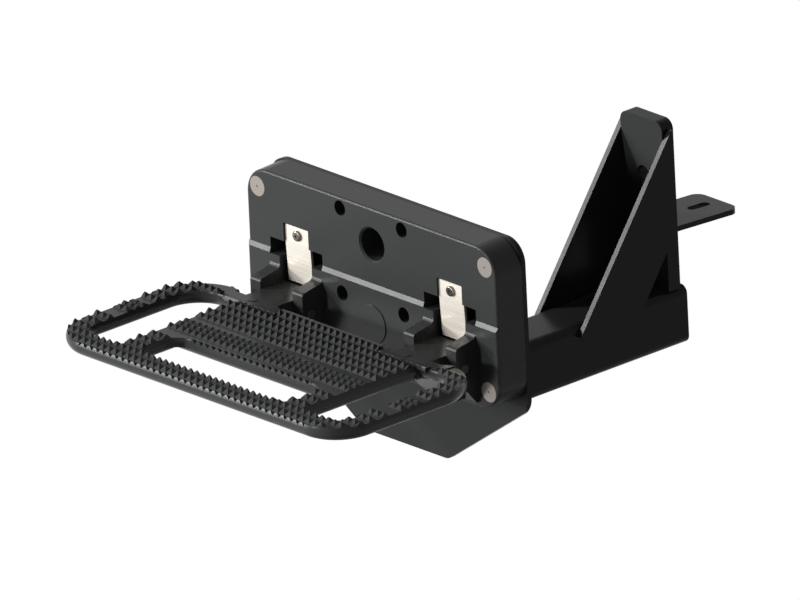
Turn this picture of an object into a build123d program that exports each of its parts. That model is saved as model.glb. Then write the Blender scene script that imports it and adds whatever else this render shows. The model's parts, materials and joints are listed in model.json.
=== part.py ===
import os
from math import radians, sqrt, tan

from build123d import *

os.makedirs("parts", exist_ok=True)

# The origin is the middle of the upright's bolt hole, on its rear face. Everything below is
# measured from the middle of the hinge base's front face, which lies here from the origin.
face_y = -314.2
face_z = -13.4

# Hinge base
base_width = 304.8
base_height = 142.9
base_depth = 28.0
base_corner = 24.0
draft = 2.25
proud = 1.58
bolt_x = base_width / 2 - 13.1
bolt_z = base_height / 2 - 16.45
bolt_end = 40.5
small_hole_x = 37.7
small_hole_top = 61.8
small_hole_low = -12.9
small_hole_radius = 6.65
round_hole_z = 39.0
round_hole_radius = 14.3
pocket_depth = 16.0
pocket_top = 14.0

# Hinge units
unit_x = base_width / 2 - 58.3
unit_half = 31.9
slot_half = 19.7
lug_half = 19.4
pin_y = -14.0
pin_z = -35.0
pin_radius = 4.75
bush_radius = 6.35
lug_top = -22.6
lug_rear = 4.6
flare_y = -40.5
lug_front = -56.0

# Step platform
step_width = base_width + 50.8
bar_radius = 9.6
bar_centre_z = -27.2
rib_centre_z = -28.5
link_radius = 6.6
link_centre_z = -27.6
body_top = -23.5
tip_z = -19.8
round_over = 15.0
step_front = -205.4
step_rear = -34.4
front_corner = 39.6
rear_corner = 44.2
inner_bar_x = unit_x + 7.3
inner_flank = unit_x + 17.4
side_opening_outer = step_width / 2 - 2 * bar_radius
opening_front = step_front + 2 * bar_radius
side_opening_rear = step_rear - 2 * bar_radius
side_opening_corner = 3.0
mid_front = -138.8
deck_rear = -45.7
centre_opening_half = unit_x - 2.8
centre_opening_corner = 18.0
web_inset = 1.3
hidden_web_inset = 2.2
tread_inset = 0.95

# Teeth
tooth_pitch = 7.65
tooth_depth = 8.0
tip_flat = 1.0
deck_row_pitch = 11.5
first_deck_row = -50.2
rim_floor = -25.7
rim_tip = -22.4

# Leaf springs
spring_width = 30.0
spring_thickness = 2.4
spring_seat = 1.9
spring_top = 29.4
spring_tip = -21.0
spring_lean = 3.6
screw_z = 22.0

# Steel frame
plate_thickness = 4.76
plate_half = base_width / 2 + 1.1
plate_top = base_height / 2 + 1.05
plate_corner = 20.0
tube_size = 50.8
tube_wall = 4.76
tube_top = -base_height / 2 - 13.85
plate_shoulder = -base_height / 2 - 5.5
plate_bottom = tube_top - tube_size - 9.5
plate_foot = tube_size / 2 + 25.9
tube_end = 321.2
upright_front = 301.5
upright_thickness = 12.7
upright_top = 64.0
hole_radius = 7.15
gusset_thickness = 4.76
tab_thickness = 4.76
tab_width = tube_size
tab_end = 383.0
tab_top = -30.6
tab_slope = 3.0
slot_length = 23.0
slot_width = 8.5


def level(z):
    return Plane(origin=(0, face_y, face_z + z), x_dir=(1, 0, 0), z_dir=(0, 0, 1))


def facing(y):
    return Plane(origin=(0, face_y + y, face_z), x_dir=(1, 0, 0), z_dir=(0, -1, 0))


def across(x):
    return Plane(origin=(x, face_y, face_z), x_dir=(0, 1, 0), z_dir=(1, 0, 0))


def side_opening(inset):
    # One side opening, its outer corners following the hoop.
    left = inner_flank - inset
    right = side_opening_outer + inset
    front = opening_front - inset
    rear = side_opening_rear + inset
    with BuildSketch() as shape:
        with Locations(((left + right) / 2, (front + rear) / 2)):
            Rectangle(right - left, rear - front)
        fillet(shape.vertices().group_by(Axis.X)[0], side_opening_corner + inset)
        outer = shape.vertices().group_by(Axis.X)[-1].sort_by(Axis.Y)
        fillet(outer[0], front_corner - 2 * bar_radius + inset)
        outer = shape.vertices().group_by(Axis.X)[-1].sort_by(Axis.Y)
        fillet(outer[-1], rear_corner - 2 * bar_radius + inset)
    return shape.sketch


def step_plan(inset):
    # The step seen from above, every edge drawn in by the inset.
    centre_y = (step_front + step_rear) / 2
    with BuildSketch() as plan:
        with Locations((0, centre_y)):
            Rectangle(step_width - 2 * inset, step_rear - step_front - 2 * inset)
        fillet(plan.vertices().group_by(Axis.Y)[0], front_corner - inset)
        fillet(plan.vertices().group_by(Axis.Y)[-1], rear_corner - inset)
        with Locations((0, flare_y - inset)):
            Rectangle(2 * bar_end_x, 30, align=(Align.CENTER, Align.MIN), mode=Mode.SUBTRACT)
        with Locations((0, deck_rear - inset)):
            Rectangle(
                2 * (unit_x - unit_half + inset), 30, align=(Align.CENTER, Align.MIN), mode=Mode.SUBTRACT,
            )
        with Locations((0, (opening_front + mid_front) / 2)):
            RectangleRounded(
                2 * (centre_opening_half + inset), mid_front - opening_front + 2 * inset,
                centre_opening_corner + inset, mode=Mode.SUBTRACT,
            )
        add(side_opening(inset), mode=Mode.SUBTRACT)
        add(mirror(side_opening(inset), about=Plane.YZ), mode=Mode.SUBTRACT)
    return plan.sketch


def bar_profile(radius, centre_z):
    # Round bar cut flat on top, drawn about the middle of its round.
    top = body_top - centre_z
    half = sqrt(radius ** 2 - top ** 2)
    with BuildSketch() as section:
        with BuildLine():
            Line((-half, top), (half, top))
            ThreePointArc((half, top), (0, -radius), (-half, top))
        make_face()
    return section.sketch


def rib_profile(radius, centre_z):
    # Half-round rib with straight sides, drawn about the middle of its round.
    top = body_top - centre_z
    with BuildSketch() as section:
        with BuildLine():
            Polyline(
                (-radius, 0), (-radius, top - 1.2), (1 - radius, top),
                (radius - 1, top), (radius, top - 1.2), (radius, 0),
            )
            ThreePointArc((radius, 0), (0, -radius), (-radius, 0))
        make_face()
    return section.sketch


def tooth_comb(phase, floor, top):
    # A comb of teeth seen from the front. The phase shifts it by half a tooth.
    count = 2 * int((step_width / 2 + 12) / tooth_pitch)
    start = (phase - count / 2) * tooth_pitch
    points = []
    for i in range(count):
        x = start + i * tooth_pitch
        points.append((x - tooth_pitch / 2, floor))
        points.append((x - tip_flat / 2, top))
        points.append((x + tip_flat / 2, top))
    points.append((start + (count - 0.5) * tooth_pitch, floor))
    points.append((points[-1][0], floor - 1.5))
    points.append((points[0][0], floor - 1.5))
    with BuildSketch() as comb:
        with BuildLine():
            Polyline(*points, close=True)
        make_face()
    return comb.sketch


def ridge(middle, depth, top):
    # One row of teeth seen from the side.
    with BuildSketch() as side:
        Polygon(
            (middle - depth / 2, body_top - 1.5), (middle + depth / 2, body_top - 1.5),
            (middle + depth / 2, body_top), (middle + tip_flat / 2, top),
            (middle - tip_flat / 2, top), (middle - depth / 2, body_top), align=None,
        )
    return side.sketch


top_height = body_top - bar_centre_z
middle_bar_y = mid_front + bar_radius
front_bar_y = step_front + bar_radius
side_bar_x = step_width / 2 - bar_radius
rear_bar_y = step_rear - bar_radius
front_turn = front_corner - bar_radius
rear_turn = rear_corner - bar_radius
bar_end_x = side_bar_x - rear_turn
link_y = flare_y - link_radius
lip_end = unit_half - 3
flank = inner_flank - unit_x
deck_bar_y = deck_rear - bar_radius
deck_edge_x = unit_x - unit_half - 1
front_straight = side_bar_x - front_turn
middle_straight = centre_opening_half - centre_opening_corner
section = bar_profile(bar_radius, bar_centre_z)
link_section = bar_profile(link_radius, link_centre_z)
rib_section = rib_profile(bar_radius, rib_centre_z)

# Each row is its middle, its depth and the height of its tips. The lists stand half a tooth apart.
even_list = [(first_deck_row - i * deck_row_pitch, tooth_depth, tip_z) for i in (0, 2, 4)]
even_list += [(y, tooth_depth, tip_z) for y in (-149.8, -175.2, -198.6)]
even_list += [(-119.2, 7.4, -20.7)]
odd_list = [(first_deck_row - i * deck_row_pitch, tooth_depth, tip_z) for i in (1, 3)]
odd_list += [(y, tooth_depth, tip_z) for y in (-162.6, -187.1)]
odd_list += [(-110.6, 6.6, -21.6), (-127.8, 7.6, -20.2)]

# Rows of teeth, laid over the whole width of the step.
with BuildPart() as even_rows:
    for middle, depth, top in even_list:
        with BuildSketch(across(-step_width / 2 - 12)):
            add(ridge(middle, depth, top))
    extrude(amount=step_width + 24)
    with BuildSketch(facing(0)):
        add(tooth_comb(0.0, body_top, tip_z))
    extrude(amount=230, mode=Mode.INTERSECT)

with BuildPart() as odd_rows:
    for middle, depth, top in odd_list:
        with BuildSketch(across(-step_width / 2 - 12)):
            add(ridge(middle, depth, top))
    extrude(amount=step_width + 24)
    with BuildSketch(facing(0)):
        add(tooth_comb(0.5, body_top, tip_z))
    extrude(amount=230, mode=Mode.INTERSECT)

# The teeth are cut to the round of the bars, and left out where the hinge lugs stand.
with BuildPart() as tread:
    add(even_rows.part)
    add(odd_rows.part)
    with BuildSketch(across(deck_edge_x)):
        Polygon(
            (deck_rear - 4.6, body_top), (deck_rear - 1.2, tip_z - 0.2), (deck_rear + 0.2, tip_z - 0.2),
            (deck_rear + 0.2, body_top - 1), (deck_rear - 4.6, body_top - 1), align=None,
        )
    extrude(amount=-2 * deck_edge_x)
    with BuildSketch(level(-30)):
        add(step_plan(tread_inset))
    extrude(amount=20, mode=Mode.INTERSECT)
    with BuildSketch(level(body_top - 1.1)) as hoop:
        with Locations((0, (step_front + step_rear) / 2)):
            Rectangle(step_width, step_rear - step_front)
        fillet(hoop.vertices().group_by(Axis.Y)[0], front_corner)
        fillet(hoop.vertices().group_by(Axis.Y)[-1], rear_corner)
    extrude(amount=5.2, taper=round_over, mode=Mode.INTERSECT)
    with BuildSketch(level(body_top - 1.1)):
        with Locations((0, (opening_front + mid_front) / 2)):
            RectangleRounded(2 * centre_opening_half, mid_front - opening_front, centre_opening_corner)
    extrude(amount=5.2, taper=-round_over, mode=Mode.SUBTRACT)
    with BuildSketch(level(body_top - 1.1)):
        add(side_opening(0))
    extrude(amount=5.2, taper=-round_over, mode=Mode.SUBTRACT)
    with BuildSketch(level(body_top - 1.1)):
        add(mirror(side_opening(0), about=Plane.YZ))
    extrude(amount=5.2, taper=-round_over, mode=Mode.SUBTRACT)
    with BuildSketch(level(-30)):
        with Locations((unit_x + 2.5, lug_front - 0.5), (-unit_x - 2.5, lug_front - 0.5)):
            Rectangle(2 * unit_half + 7, 40, align=(Align.CENTER, Align.MIN))
    extrude(amount=20, mode=Mode.SUBTRACT)

# Teeth cut into the round front edges of the front bar and the middle bar.
with BuildPart() as rim_teeth:
    with BuildSketch(across(-front_straight)):
        Polygon(
            (step_front + 2.9, rim_floor), (step_front + 0.7, rim_tip), (step_front - 0.5, rim_tip),
            (step_front - 0.5, rim_floor - 1), (step_front + 2.9, rim_floor - 1), align=None,
        )
    extrude(amount=2 * front_straight)
    with BuildSketch(across(-middle_straight)):
        Polygon(
            (mid_front + 2.9, rim_floor), (mid_front + 1.4, rim_tip), (mid_front + 0.7, rim_tip),
            (mid_front, rim_floor), (mid_front, rim_floor - 1), (mid_front + 2.9, rim_floor - 1),
            align=None,
        )
    extrude(amount=2 * middle_straight)
    with BuildSketch(facing(0)):
        add(tooth_comb(0.5, rim_floor, rim_tip))
    extrude(amount=230, mode=Mode.INTERSECT)
    with BuildSketch(across(-front_straight)):
        with Locations((front_bar_y, bar_centre_z)):
            Circle(bar_radius)
        with Locations((mid_front + 10, bar_centre_z)):
            Rectangle(20, 20)
    extrude(amount=2 * front_straight, mode=Mode.INTERSECT)

# Flared fronts of the lugs, with a raised lip along the front edge.
with BuildPart() as lug_fronts:
    for side in (1, -1):
        with BuildSketch(level(-35.5)):
            Polygon(
                (side * (unit_x - unit_half), lug_front + 1), (side * (unit_x - unit_half), -47),
                (side * (unit_x - lug_half), flare_y), (side * (unit_x + lug_half), flare_y),
                (side * (unit_x + lug_half), -50), (side * (unit_x + flank), -50),
                (side * (unit_x + flank), lug_front + 1), align=None,
            )
        extrude(amount=lug_top + 35.5)
        with BuildSketch(level(-31)):
            Polygon(
                (side * (unit_x + flank), -50), (side * (unit_x + flank), flare_y),
                (side * (unit_x + unit_half + 1), flare_y), (side * (unit_x + unit_half + 4.5), -37),
                (side * (unit_x + unit_half + 8), step_rear - 0.9),
                (side * (unit_x + unit_half + 11), step_rear - 0.7),
                (side * (unit_x + unit_half + 8), -50), align=None,
            )
        extrude(amount=lug_top + 31)
        with BuildSketch(level(-27)):
            with Locations((side * (unit_x + (flank + lip_end) / 2), -51.5)):
                Rectangle(lip_end - flank, 7)
        extrude(amount=lug_top + 27)
        with BuildSketch(across(side * unit_x - (unit_half if side == 1 else lip_end))):
            Polygon(
                (lug_front - 0.2, -25), (lug_front + 0.8, -21.5), (lug_front + 1.8, -21.5),
                (lug_front + 2.8, lug_top), (lug_front + 2.8, -25), align=None,
            )
        extrude(amount=unit_half + lip_end)
    with BuildSketch(level(-22.4)):
        with Locations((unit_x + 2, lug_front), (-unit_x - 2, lug_front)):
            Rectangle(4, 8)
    extrude(amount=3, mode=Mode.SUBTRACT)

with BuildPart() as step_platform:
    # Top web of the whole step, then a thinner one hidden inside the round bars.
    with BuildSketch(level(bar_centre_z)):
        add(step_plan(web_inset))
    extrude(amount=top_height)
    with BuildSketch(level(-32.4)):
        add(step_plan(hidden_web_inset))
    extrude(amount=8)
    # Side bars, front bar and the two corners of the hoop.
    for side in (1, -1):
        with BuildSketch(Plane(
            origin=(side * side_bar_x, face_y + step_rear - rear_corner, face_z + bar_centre_z),
            x_dir=(1, 0, 0), z_dir=(0, -1, 0),
        )):
            add(section)
        extrude(amount=step_rear - rear_corner - step_front - front_corner)
        with BuildSketch(Plane(
            origin=(side * side_bar_x, face_y + step_front + front_corner, face_z + bar_centre_z),
            x_dir=(1, 0, 0), z_dir=(0, -1, 0),
        )):
            add(section)
        revolve(
            axis=Axis(
                (side * (side_bar_x - front_turn), face_y + step_front + front_corner, 0), (0, 0, -side),
            ),
            revolution_arc=90,
        )
        with BuildSketch(Plane(
            origin=(side * side_bar_x, face_y + step_rear - rear_corner, face_z + bar_centre_z),
            x_dir=(1, 0, 0), z_dir=(0, -1, 0),
        )):
            add(section)
        revolve(
            axis=Axis(
                (side * (side_bar_x - rear_turn), face_y + step_rear - rear_corner, 0), (0, 0, side),
            ),
            revolution_arc=90,
        )
        with BuildSketch(Plane(
            origin=(side * inner_bar_x, face_y + deck_rear - 4, face_z + rib_centre_z),
            x_dir=(1, 0, 0), z_dir=(0, -1, 0),
        )):
            add(rib_section)
        extrude(amount=deck_rear - 4 - front_bar_y)
        # The bar ends beside the hinge, and a slimmer one carries on to the lug.
        with BuildSketch(Plane(
            origin=(side * bar_end_x, face_y + rear_bar_y, face_z + bar_centre_z),
            x_dir=(0, -side, 0), z_dir=(-side, 0, 0),
        )):
            add(section)
        extrude(amount=bar_end_x - unit_x - unit_half - 2)
        with BuildSketch(Plane(
            origin=(side * bar_end_x, face_y + link_y, face_z + link_centre_z),
            x_dir=(0, -side, 0), z_dir=(-side, 0, 0),
        )):
            add(link_section)
        extrude(amount=bar_end_x - inner_flank + 3)
    with BuildSketch(Plane(
        origin=(-front_straight, face_y + front_bar_y, face_z + bar_centre_z),
        x_dir=(0, 1, 0), z_dir=(1, 0, 0),
    )):
        add(section)
    extrude(amount=2 * front_straight)
    for y in (middle_bar_y, deck_bar_y):
        with BuildSketch(Plane(
            origin=(-inner_bar_x, face_y + y, face_z + rib_centre_z), x_dir=(0, 1, 0), z_dir=(1, 0, 0),
        )):
            add(rib_section)
        extrude(amount=2 * inner_bar_x)
    # Hinge lugs: a flared front that joins the deck, and a narrow knuckle that fits its slot.
    with BuildSketch(across(-front_straight)):
        with Locations((step_front, rim_floor)):
            Rectangle(5.6, 10, align=(Align.CENTER, Align.MIN))
    extrude(amount=2 * front_straight, mode=Mode.SUBTRACT)
    with BuildSketch(across(-middle_straight)):
        with Locations((mid_front, rim_floor)):
            Rectangle(5.6, 10, align=(Align.CENTER, Align.MIN))
    extrude(amount=2 * middle_straight, mode=Mode.SUBTRACT)
    add(rim_teeth.part)
    add(lug_fronts.part)
    with BuildSketch(across(unit_x - lug_half), across(-unit_x - lug_half)):
        Polygon(
            (lug_rear, lug_top - 0.8), (lug_rear - 0.8, lug_top), (-52, lug_top), (-52, -34), (-36, -41),
            (-20, -60), (-14, -66), (-proud - 0.3, -66), (-proud - 0.3, -54.2), (lug_rear, -47),
            align=None,
        )
    extrude(amount=2 * lug_half)
    with BuildSketch(level(lug_top)):
        for side in (unit_x, -unit_x):
            with Locations((side - 7, -45)):
                Ellipse(5, 3)
    extrude(amount=0.7)
    add(tread.part)
    with BuildSketch(across(-base_width / 2)):
        with Locations((pin_y, pin_z)):
            Circle(bush_radius + 0.03)
    extrude(amount=base_width, mode=Mode.SUBTRACT)
step_platform.part.label = "step_platform"
export_step(step_platform.part, "parts/step_platform.step")

with BuildPart() as lower_face:
    with BuildSketch(facing(base_depth)):
        RectangleRounded(base_width + 2.2, base_height + 2.2, base_corner + 1)
    extrude(amount=base_depth + proud, taper=draft)
    fillet(lower_face.faces().sort_by(Axis.Y)[0].edges(), 2)
    with BuildSketch(across(-base_width)):
        Polygon(
            (-10, -base_height), (1, -base_height), (1, 4.5), (0, 4.5), (-proud, 0.5), (-10, 0.5),
            align=None,
        )
    extrude(amount=2 * base_width, mode=Mode.INTERSECT)

with BuildPart() as hinge_base:
    with BuildSketch(facing(base_depth)):
        RectangleRounded(base_width + 2.2, base_height + 2.2, base_corner + 1)
    extrude(amount=base_depth, taper=draft)
    fillet(hinge_base.faces().sort_by(Axis.Y)[0].edges(), 2)
    add(lower_face.part)
    # Pockets above the hinges, and a pocket behind each lug.
    with BuildSketch(facing(-5)):
        with Locations((unit_x, pocket_top / 2), (-unit_x, pocket_top / 2)):
            Rectangle(2 * unit_half, pocket_top)
        with Locations((unit_x, -27), (-unit_x, -27)):
            Rectangle(2 * slot_half, 56)
    extrude(amount=-pocket_depth - 5, mode=Mode.SUBTRACT)
    # Seats of the leaf springs.
    with BuildSketch(facing(-5)):
        with Locations((unit_x, 22), (-unit_x, 22)):
            Rectangle(spring_width + 0.6, 17)
    extrude(amount=-5 - spring_seat - spring_thickness, mode=Mode.SUBTRACT)
    # Cheeks with a rounded root, sloping top and cut-back lower edge.
    inner = slot_half
    outer = unit_half
    for side in (unit_x, -unit_x):
        with BuildSketch(across(side - outer), across(side + inner)):
            with BuildLine():
                Line((3, -6.5), (-proud, -6.5))
                ThreePointArc((-proud, -6.5), (-2.6, -9.6), (-5.4, -11.0))
                Line((-5.4, -11.0), (-21.4, -13.8))
                ThreePointArc((-21.4, -13.8), (-23.5, -14.9), (-24.2, -17.0))
                Line((-24.2, -17.0), (-24.2, -40.0))
                ThreePointArc((-24.2, -40.0), (-22.2, -47.6), (-14.0, -54.5))
                Line((-14.0, -54.5), (-3.5, -67.3))
                Line((-3.5, -67.3), (3, -67.3))
                Line((3, -67.3), (3, -6.5))
            make_face()
        extrude(amount=outer - inner)
    with BuildSketch(across(-base_width / 2)):
        with Locations((pin_y, pin_z)):
            Circle(pin_radius + 0.02)
    extrude(amount=base_width, mode=Mode.SUBTRACT)
    # Holes through the base.
    with BuildSketch(facing(-5)):
        for x in (small_hole_x, -small_hole_x):
            with Locations((x, small_hole_top), (x, small_hole_low)):
                Circle(small_hole_radius)
        for x in (bolt_x, -bolt_x):
            with Locations((x, bolt_z), (x, -bolt_z)):
                Circle(4.8)
        with Locations((0, round_hole_z)):
            Circle(round_hole_radius - 1.3)
    extrude(amount=-base_depth - 10, mode=Mode.SUBTRACT)
    with BuildSketch(facing(-0.01)):
        with Locations((0, round_hole_z)):
            Circle(round_hole_radius + 1.5)
    extrude(amount=-1.5, taper=45, mode=Mode.SUBTRACT)
    with BuildSketch(facing(0)):
        with Locations((0, round_hole_z)):
            Circle(round_hole_radius)
    extrude(amount=-20, taper=3, mode=Mode.SUBTRACT)
    for x in (bolt_x, -bolt_x):
        for z, y in ((bolt_z, 0), (-bolt_z, -proud)):
            with BuildSketch(facing(y - 0.01)):
                with Locations((x, z)):
                    Circle(8.85)
            extrude(amount=-4.2, taper=41, mode=Mode.SUBTRACT)
    with BuildSketch(facing(10)):
        with Locations((unit_x, screw_z), (-unit_x, screw_z)):
            Circle(2.55)
    extrude(amount=20, both=True, mode=Mode.SUBTRACT)
hinge_base.part.label = "hinge_base"
export_step(hinge_base.part, "parts/hinge_base.step")

# Plain round disc on the face between the hinges.
with BuildPart() as face_disc:
    with BuildSketch(facing(-proud)):
        with Locations((-2, -31)):
            Circle(17)
    extrude(amount=0.9)
    fillet(face_disc.faces().sort_by(Axis.Y)[0].edges(), 0.5)
face_disc.part.label = "face_disc"
export_step(face_disc.part, "parts/face_disc.step")

with BuildPart() as leaf_spring_right:
    with BuildSketch(across(unit_x - spring_width / 2)):
        Polygon(
            (spring_seat, spring_top), (spring_seat, pocket_top), (spring_lean, spring_tip),
            (spring_lean + spring_thickness, spring_tip), (spring_seat + spring_thickness, pocket_top),
            (spring_seat + spring_thickness, spring_top), align=None,
        )
    extrude(amount=spring_width)
    with BuildSketch(facing(0)):
        with Locations((unit_x, screw_z)):
            Circle(2.65)
    extrude(amount=-12, mode=Mode.SUBTRACT)
    fillet(leaf_spring_right.edges().filter_by(Axis.Y).group_by(Axis.Z)[-1], 2)
leaf_spring_right.part.label = "leaf_spring_right"
export_step(leaf_spring_right.part, "parts/leaf_spring_right.step")

with BuildPart() as leaf_spring_left:
    add(mirror(leaf_spring_right.part, about=Plane.YZ))
leaf_spring_left.part.label = "leaf_spring_left"
export_step(leaf_spring_left.part, "parts/leaf_spring_left.step")

with BuildPart() as spring_screw_right:
    with BuildSketch(facing(spring_seat)):
        with Locations((unit_x, screw_z)):
            Circle(4.65)
    extrude(amount=2.2)
    fillet(spring_screw_right.faces().sort_by(Axis.Y)[0].edges(), 1.2)
    with BuildSketch(facing(spring_seat)):
        with Locations((unit_x, screw_z)):
            Circle(2.5)
    extrude(amount=-14)
    with BuildSketch(facing(spring_seat - 2.5)):
        with Locations((unit_x, screw_z)):
            RegularPolygon(1.5, 6)
    extrude(amount=-1.6, mode=Mode.SUBTRACT)
spring_screw_right.part.label = "spring_screw_right"
export_step(spring_screw_right.part, "parts/spring_screw_right.step")

with BuildPart() as spring_screw_left:
    add(mirror(spring_screw_right.part, about=Plane.YZ))
spring_screw_left.part.label = "spring_screw_left"
export_step(spring_screw_left.part, "parts/spring_screw_left.step")

with BuildPart() as hinge_pin_right:
    with BuildSketch(across(unit_x - unit_half + 0.2)):
        with Locations((pin_y, pin_z)):
            Circle(pin_radius)
    extrude(amount=2 * unit_half - 0.4)
    chamfer(hinge_pin_right.edges().filter_by(GeomType.CIRCLE), 0.8)
hinge_pin_right.part.label = "hinge_pin_right"
export_step(hinge_pin_right.part, "parts/hinge_pin_right.step")

with BuildPart() as hinge_pin_left:
    add(mirror(hinge_pin_right.part, about=Plane.YZ))
hinge_pin_left.part.label = "hinge_pin_left"
export_step(hinge_pin_left.part, "parts/hinge_pin_left.step")

with BuildPart() as hinge_bush_right:
    with BuildSketch(across(unit_x - lug_half)):
        with Locations((pin_y, pin_z)):
            Circle(bush_radius)
            Circle(pin_radius + 0.06, mode=Mode.SUBTRACT)
    extrude(amount=2 * lug_half)
hinge_bush_right.part.label = "hinge_bush_right"
export_step(hinge_bush_right.part, "parts/hinge_bush_right.step")

with BuildPart() as hinge_bush_left:
    add(mirror(hinge_bush_right.part, about=Plane.YZ))
hinge_bush_left.part.label = "hinge_bush_left"
export_step(hinge_bush_left.part, "parts/hinge_bush_left.step")

with BuildPart() as mounting_plate:
    with BuildSketch(facing(base_depth)) as outline:
        Polygon(
            (plate_half, plate_top), (plate_half, plate_shoulder), (plate_foot, plate_bottom),
            (-plate_foot, plate_bottom), (-plate_half, plate_shoulder), (-plate_half, plate_top),
            align=None,
        )
        fillet(outline.vertices().group_by(Axis.Y)[-1], plate_corner)
        fillet(outline.vertices().group_by(Axis.X)[0].sort_by(Axis.Y)[0], 20)
        fillet(outline.vertices().group_by(Axis.X)[-1].sort_by(Axis.Y)[0], 20)
        fillet(outline.vertices().group_by(Axis.Y)[0], 12)
        for x in (bolt_x, -bolt_x):
            with Locations((x, bolt_z), (x, -bolt_z)):
                Circle(4.8, mode=Mode.SUBTRACT)
    extrude(amount=-plate_thickness)
mounting_plate.part.label = "mounting_plate"
export_step(mounting_plate.part, "parts/mounting_plate.step")

tube_front = base_depth + plate_thickness
with BuildPart() as support_tube:
    with BuildSketch(facing(tube_front)):
        with Locations((0, tube_top - tube_size / 2)):
            RectangleRounded(tube_size, tube_size, 7)
            RectangleRounded(tube_size - 2 * tube_wall, tube_size - 2 * tube_wall, 3, mode=Mode.SUBTRACT)
    extrude(amount=tube_front - tube_end)
support_tube.part.label = "support_tube"
export_step(support_tube.part, "parts/support_tube.step")

with BuildPart() as upright_plate:
    with BuildSketch(facing(upright_front)) as bar:
        with Locations((0, tube_top)):
            Rectangle(tube_size, upright_top - tube_top, align=(Align.CENTER, Align.MIN))
        fillet(bar.vertices().group_by(Axis.Y)[-1], 8.5)
        with Locations((0, -face_z)):
            Circle(hole_radius, mode=Mode.SUBTRACT)
    extrude(amount=-upright_thickness)
upright_plate.part.label = "upright_plate"
export_step(upright_plate.part, "parts/upright_plate.step")

with BuildPart() as gusset_right:
    with BuildSketch(across(tube_size / 2)):
        Polygon(
            (308.2, 57.6), (198.2, -94.7), (264.4, -94.7), (298.2, -45.7), (308.5, -32), align=None,
        )
    extrude(amount=gusset_thickness)
gusset_right.part.label = "gusset_right"
export_step(gusset_right.part, "parts/gusset_right.step")

with BuildPart() as gusset_left:
    add(mirror(gusset_right.part, about=Plane.YZ))
gusset_left.part.label = "gusset_left"
export_step(gusset_left.part, "parts/gusset_left.step")

upright_rear = upright_front + upright_thickness
tab_drop = (tab_end - upright_rear) * tan(radians(tab_slope))
with BuildPart() as rear_tab:
    with BuildSketch(across(-tab_width / 2)):
        Polygon(
            (upright_rear, tab_top), (tab_end, tab_top - tab_drop),
            (tab_end, tab_top - tab_drop - tab_thickness), (upright_rear, tab_top - tab_thickness),
            align=None,
        )
    extrude(amount=tab_width)
    fillet(rear_tab.edges().filter_by(Axis.Z).group_by(Axis.Y)[-1], 9)
    with BuildSketch(level(tab_top + 5)):
        with Locations((0, 360.5)):
            SlotOverall(slot_length, slot_width, rotation=90)
    extrude(amount=-30, mode=Mode.SUBTRACT)
rear_tab.part.label = "rear_tab"
export_step(rear_tab.part, "parts/rear_tab.step")

# Flat-head corner bolts, flush with the face and threaded into the plate.
for side_name, x in (("right", bolt_x), ("left", -bolt_x)):
    for height_name, z, head_y in (("upper", bolt_z, 0), ("lower", -bolt_z, -proud)):
        with BuildPart() as bolt:
            with BuildSketch(facing(head_y)):
                with Locations((x, z)):
                    Circle(8.75)
            extrude(amount=-4.1, taper=41)
            with BuildSketch(facing(head_y + 2)):
                with Locations((x, z)):
                    Circle(4.7)
            extrude(amount=head_y + 2 - bolt_end)
            chamfer(bolt.edges().filter_by(GeomType.CIRCLE).sort_by(Axis.Y)[-1], 0.9)
            with BuildSketch(facing(head_y - 0.01)):
                with Locations((x, z)):
                    Circle(1.0)
            extrude(amount=-0.6, mode=Mode.SUBTRACT)
        bolt.part.label = "corner_bolt_" + height_name + "_" + side_name
        export_step(bolt.part, "parts/" + bolt.part.label + ".step")
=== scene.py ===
import json
import math

import bpy
from mathutils import Matrix, Vector

# Sizes are in metres, or in millimetres where the name ends in Mm.
# The object's origin is the middle of the upright's bolt hole.
photoView = {
    "azimuth": 48.67,
    "elevation": 21.29,
    "roll": 2.69,
    "pixelsPerMetre": 1213.0,
    "datum": (0.0, -0.3142, -0.0134),
    "datumPixel": (373.7, 288.85),
    "imageSize": (800, 600),
    "distance": 3.0,
    "clipEnd": 30.0,
}

castPaint = {
    # Both castings carry one black powder coat. The step's colour is set lighter than the base's as a
    # painted sheen, standing in for highlights on its teeth and rounded bars.
    "stepColourWithPaintedSheen": "#444645",
    "baseColour": "#3f4140",
    "roughness": 0.27,
    "roughnessSpread": 0.03,
    "patchMm": 18.0,
    "specular": 0.12,
    "bumpMm": 0.008,
    "grainMm": 0.9,
}

steelPaint = {
    "colour": "#383a39",
    "roughness": 0.23,
    "roughnessSpread": 0.03,
    "patchMm": 25.0,
    "specular": 0.05,
    "bumpMm": 0.008,
    "grainMm": 1.4,
}

springLook = {
    "colour": "#fdf7ec",
    "lineColour": "#eee0cc",
    "contrastLow": 0.3,
    "contrastHigh": 0.52,
    "metallic": 0.2,
    "roughness": 0.36,
    "brushMm": 0.7,
    "levelScale": 12.0,
    "bumpMm": 0.04,
    "bumpStrength": 0.5,
}

fastenerLook = {
    "boltColour": "#958d86",
    "boltMetallic": 0.3,
    "boltRoughness": 0.4,
    "screwColour": "#858079",
    "screwMetallic": 0.9,
    "screwRoughness": 0.22,
    "pinColour": "#2c2d2d",
    "pinMetallic": 0.0,
    "bronzeColour": "#9c7a4a",
    "bronzeMetallic": 0.8,
    "hingeRoughness": 0.45,
    "bumpMm": 0.015,
    "grainMm": 0.6,
}

noiseDetail = {
    "grain": 3.0,
    "patch": 4.0,
    "brush": 2.0,
}

studio = {
    "floorColour": "#f2f2f0",
    "floorRoughness": 0.9,
    "floorSize": 1.6,
    "floorMiddle": (0.0, -0.2, -1.0),
    "worldStrength": 0.06,
    "backgroundStrength": 1.0,
    "lampDistance": 2.0,
}

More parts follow.
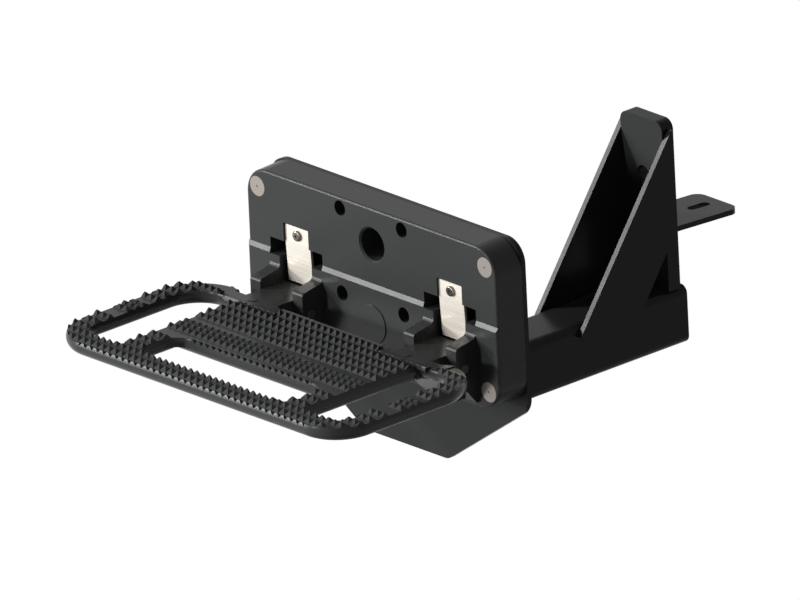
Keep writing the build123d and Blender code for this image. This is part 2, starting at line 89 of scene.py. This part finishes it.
# Each lamp is a sun, with its angle in degrees.
lamps = {
    "keyLight": {"comesFrom": (-0.25, -0.95, 0.19), "strength": 0.95, "angle": 6.0},
    "rimLight": {"comesFrom": (-0.70, -0.705, 0.11), "strength": 1.6, "angle": 9.0},
    "lowLight": {"comesFrom": (-0.70, -0.70, -0.11), "strength": 0.6, "angle": 9.0},
    "edgeLight": {"comesFrom": (-0.70, -0.536, 0.469), "strength": 1.0, "angle": 6.0},
    "backLight": {"comesFrom": (-0.15, 0.98, 0.08), "strength": 1.6, "angle": 12.0},
}


def linear(hexColour):
    values = []
    for i in (1, 3, 5):
        c = int(hexColour[i:i + 2], 16) / 255
        values.append(c / 12.92 if c <= 0.04045 else ((c + 0.055) / 1.055) ** 2.4)
    return (*values, 1.0)


def perMetre(millimetres):
    return 1000.0 / millimetres


def newMaterial(name):
    material = bpy.data.materials.new(name)
    material.use_nodes = True
    return material, material.node_tree.nodes["Principled BSDF"]


def addNoise(tree, scale, detail):
    noise = tree.nodes.new("ShaderNodeTexNoise")
    noise.inputs["Scale"].default_value = scale
    noise.inputs["Detail"].default_value = detail
    return noise


def addBump(tree, shader, noise, heightMm, strength):
    bump = tree.nodes.new("ShaderNodeBump")
    bump.inputs["Strength"].default_value = strength
    bump.inputs["Distance"].default_value = heightMm / 1000.0
    tree.links.new(noise.outputs["Fac"], bump.inputs["Height"])
    tree.links.new(bump.outputs["Normal"], shader.inputs["Normal"])


def addGrain(tree, shader, coords, look):
    noise = addNoise(tree, perMetre(look["grainMm"]), noiseDetail["grain"])
    tree.links.new(coords.outputs["Object"], noise.inputs["Vector"])
    addBump(tree, shader, noise, look["bumpMm"], 1.0)


def addRoughnessPatches(tree, shader, coords, look):
    noise = addNoise(tree, perMetre(look["patchMm"]), noiseDetail["patch"])
    spread = tree.nodes.new("ShaderNodeMapRange")
    spread.inputs["To Min"].default_value = look["roughness"] - look["roughnessSpread"]
    spread.inputs["To Max"].default_value = look["roughness"] + look["roughnessSpread"]
    tree.links.new(coords.outputs["Object"], noise.inputs["Vector"])
    tree.links.new(noise.outputs["Fac"], spread.inputs["Value"])
    tree.links.new(spread.outputs["Result"], shader.inputs["Roughness"])


def paintedMetal(name, colour, look):
    material, shader = newMaterial(name)
    tree = material.node_tree
    shader.inputs["Base Color"].default_value = linear(colour)
    shader.inputs["Roughness"].default_value = look["roughness"]
    shader.inputs["Specular IOR Level"].default_value = look["specular"]
    coords = tree.nodes.new("ShaderNodeTexCoord")
    addGrain(tree, shader, coords, look)
    addRoughnessPatches(tree, shader, coords, look)
    return material


def brushedSpring():
    # The brush lines lie level: the noise is fine along Z and coarse along X and Y.
    material, shader = newMaterial("brushedSpringSteel")
    tree = material.node_tree
    shader.inputs["Metallic"].default_value = springLook["metallic"]
    shader.inputs["Roughness"].default_value = springLook["roughness"]
    level = springLook["levelScale"]
    coords = tree.nodes.new("ShaderNodeTexCoord")
    mapping = tree.nodes.new("ShaderNodeMapping")
    mapping.inputs["Scale"].default_value = (level, level, perMetre(springLook["brushMm"]))
    noise = addNoise(tree, 1.0, noiseDetail["brush"])
    contrast = tree.nodes.new("ShaderNodeMapRange")
    contrast.inputs["From Min"].default_value = springLook["contrastLow"]
    contrast.inputs["From Max"].default_value = springLook["contrastHigh"]
    tint = tree.nodes.new("ShaderNodeMix")
    tint.data_type = "RGBA"
    tint.inputs["A"].default_value = linear(springLook["lineColour"])
    tint.inputs["B"].default_value = linear(springLook["colour"])
    tree.links.new(coords.outputs["Object"], mapping.inputs["Vector"])
    tree.links.new(mapping.outputs["Vector"], noise.inputs["Vector"])
    tree.links.new(noise.outputs["Fac"], contrast.inputs["Value"])
    tree.links.new(contrast.outputs["Result"], tint.inputs["Factor"])
    tree.links.new(tint.outputs["Result"], shader.inputs["Base Color"])
    addBump(tree, shader, noise, springLook["bumpMm"], springLook["bumpStrength"])
    return material


def plainMetal(name, colour, roughness, metallic):
    material, shader = newMaterial(name)
    tree = material.node_tree
    shader.inputs["Base Color"].default_value = linear(colour)
    shader.inputs["Metallic"].default_value = metallic
    shader.inputs["Roughness"].default_value = roughness
    addGrain(tree, shader, tree.nodes.new("ShaderNodeTexCoord"), fastenerLook)
    return material


def makeMaterials():
    look = fastenerLook
    return {
        # The step casting gets the lighter copy of the coat, with a painted sheen in its colour.
        "step_casting": paintedMetal("powderCoatedStepCastingWithPaintedSheen", castPaint["stepColourWithPaintedSheen"], castPaint),
        "base_casting": paintedMetal("powderCoatedBaseCasting", castPaint["baseColour"], castPaint),
        "steel_black": paintedMetal("powderCoatedSteel", steelPaint["colour"], steelPaint),
        "spring_steel": brushedSpring(),
        "zinc_screw": plainMetal(
            "zincPlatedScrew", look["screwColour"], look["screwRoughness"], look["screwMetallic"],
        ),
        "zinc_bolt": plainMetal(
            "zincPlatedBolt", look["boltColour"], look["boltRoughness"], look["boltMetallic"],
        ),
        "pin_steel": plainMetal(
            "blackOxidePin", look["pinColour"], look["hingeRoughness"], look["pinMetallic"],
        ),
        "bush_bronze": plainMetal(
            "sinteredBronzeBush", look["bronzeColour"], look["hingeRoughness"], look["bronzeMetallic"],
        ),
    }


def dressNodes(frame, materials):
    slots = {row["node"]: row["material_slot"] for row in frame["record"]["subparts"]}
    for name, node in frame["nodes"].items():
        material = materials[slots[name]]
        for slot in node.material_slots:
            slot.material = material
        if not node.material_slots:
            node.data.materials.append(material)


def addFloor():
    bpy.ops.mesh.primitive_plane_add(size=studio["floorSize"], location=studio["floorMiddle"])
    floor = bpy.context.object
    floor.name = "studioFloor"
    material, shader = newMaterial("paleStudioFloor")
    shader.inputs["Base Color"].default_value = linear(studio["floorColour"])
    shader.inputs["Roughness"].default_value = studio["floorRoughness"]
    floor.data.materials.append(material)


def addBackground(tree, strength):
    background = tree.nodes.new("ShaderNodeBackground")
    background.inputs["Color"].default_value = (1, 1, 1, 1)
    background.inputs["Strength"].default_value = strength
    return background


def addLarger(tree, first, second):
    larger = tree.nodes.new("ShaderNodeMath")
    larger.operation = "MAXIMUM"
    tree.links.new(first, larger.inputs[0])
    tree.links.new(second, larger.inputs[1])
    return larger.outputs["Value"]


def addWorld():
    # Camera, glossy and transmission rays meet the white background, all others the dim one.
    world = bpy.data.worlds.new("studioWorld")
    bpy.context.scene.world = world
    world.use_nodes = True
    tree = world.node_tree
    tree.nodes.clear()
    output = tree.nodes.new("ShaderNodeOutputWorld")
    mix = tree.nodes.new("ShaderNodeMixShader")
    path = tree.nodes.new("ShaderNodeLightPath")
    dim = addBackground(tree, studio["worldStrength"])
    white = addBackground(tree, studio["backgroundStrength"])
    seen = addLarger(tree, path.outputs["Is Camera Ray"], path.outputs["Is Glossy Ray"])
    seen = addLarger(tree, seen, path.outputs["Is Transmission Ray"])
    tree.links.new(seen, mix.inputs["Fac"])
    tree.links.new(dim.outputs["Background"], mix.inputs[1])
    tree.links.new(white.outputs["Background"], mix.inputs[2])
    tree.links.new(mix.outputs["Shader"], output.inputs["Surface"])


def addSun(name, lamp):
    comesFrom = Vector(lamp["comesFrom"])
    data = bpy.data.lights.new(name, "SUN")
    data.energy = lamp["strength"]
    data.angle = math.radians(lamp["angle"])
    light = bpy.data.objects.new(name, data)
    bpy.context.scene.collection.objects.link(light)
    light.location = comesFrom * studio["lampDistance"]
    light.rotation_mode = "QUATERNION"
    light.rotation_quaternion = (-comesFrom).to_track_quat("-Z", "Y")


def addCamera():
    azimuth = math.radians(photoView["azimuth"])
    elevation = math.radians(photoView["elevation"])
    back = Vector((
        math.sin(azimuth) * math.cos(elevation),
        -math.cos(azimuth) * math.cos(elevation),
        math.sin(elevation),
    ))
    scale = photoView["pixelsPerMetre"]
    width, height = photoView["imageSize"]
    pixelX, pixelY = photoView["datumPixel"]
    data = bpy.data.cameras.new("photoCamera")
    data.type = "ORTHO"
    data.ortho_scale = width / scale
    data.clip_end = photoView["clipEnd"]
    camera = bpy.data.objects.new("photoCamera", data)
    bpy.context.scene.collection.objects.link(camera)
    turn = (-back).to_track_quat("-Z", "Y").to_matrix()
    turn = turn @ Matrix.Rotation(math.radians(-photoView["roll"]), 3, "Z")
    across = turn @ Vector((1, 0, 0))
    upward = turn @ Vector((0, 1, 0))
    shiftX = (width / 2 - pixelX) / scale
    shiftY = (height / 2 - pixelY) / scale
    centre = Vector(photoView["datum"]) + across * shiftX - upward * shiftY
    camera.matrix_world = Matrix.Translation(centre + back * photoView["distance"]) @ turn.to_4x4()
    bpy.context.scene.camera = camera


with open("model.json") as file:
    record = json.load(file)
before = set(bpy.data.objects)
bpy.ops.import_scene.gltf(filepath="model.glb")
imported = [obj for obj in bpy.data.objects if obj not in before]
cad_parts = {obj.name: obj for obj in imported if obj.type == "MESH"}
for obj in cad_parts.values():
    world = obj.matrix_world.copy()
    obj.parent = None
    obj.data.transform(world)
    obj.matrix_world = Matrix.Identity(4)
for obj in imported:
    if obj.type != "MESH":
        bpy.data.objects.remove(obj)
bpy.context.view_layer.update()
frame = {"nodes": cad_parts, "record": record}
print("loaded the packed part")

materials = makeMaterials()
dressNodes(frame, materials)
print("materials are on")

addFloor()
addWorld()
for name, lamp in lamps.items():
    addSun(name, lamp)
addCamera()
bpy.context.scene.view_settings.view_transform = "Standard"
print("stage, light and camera are set")
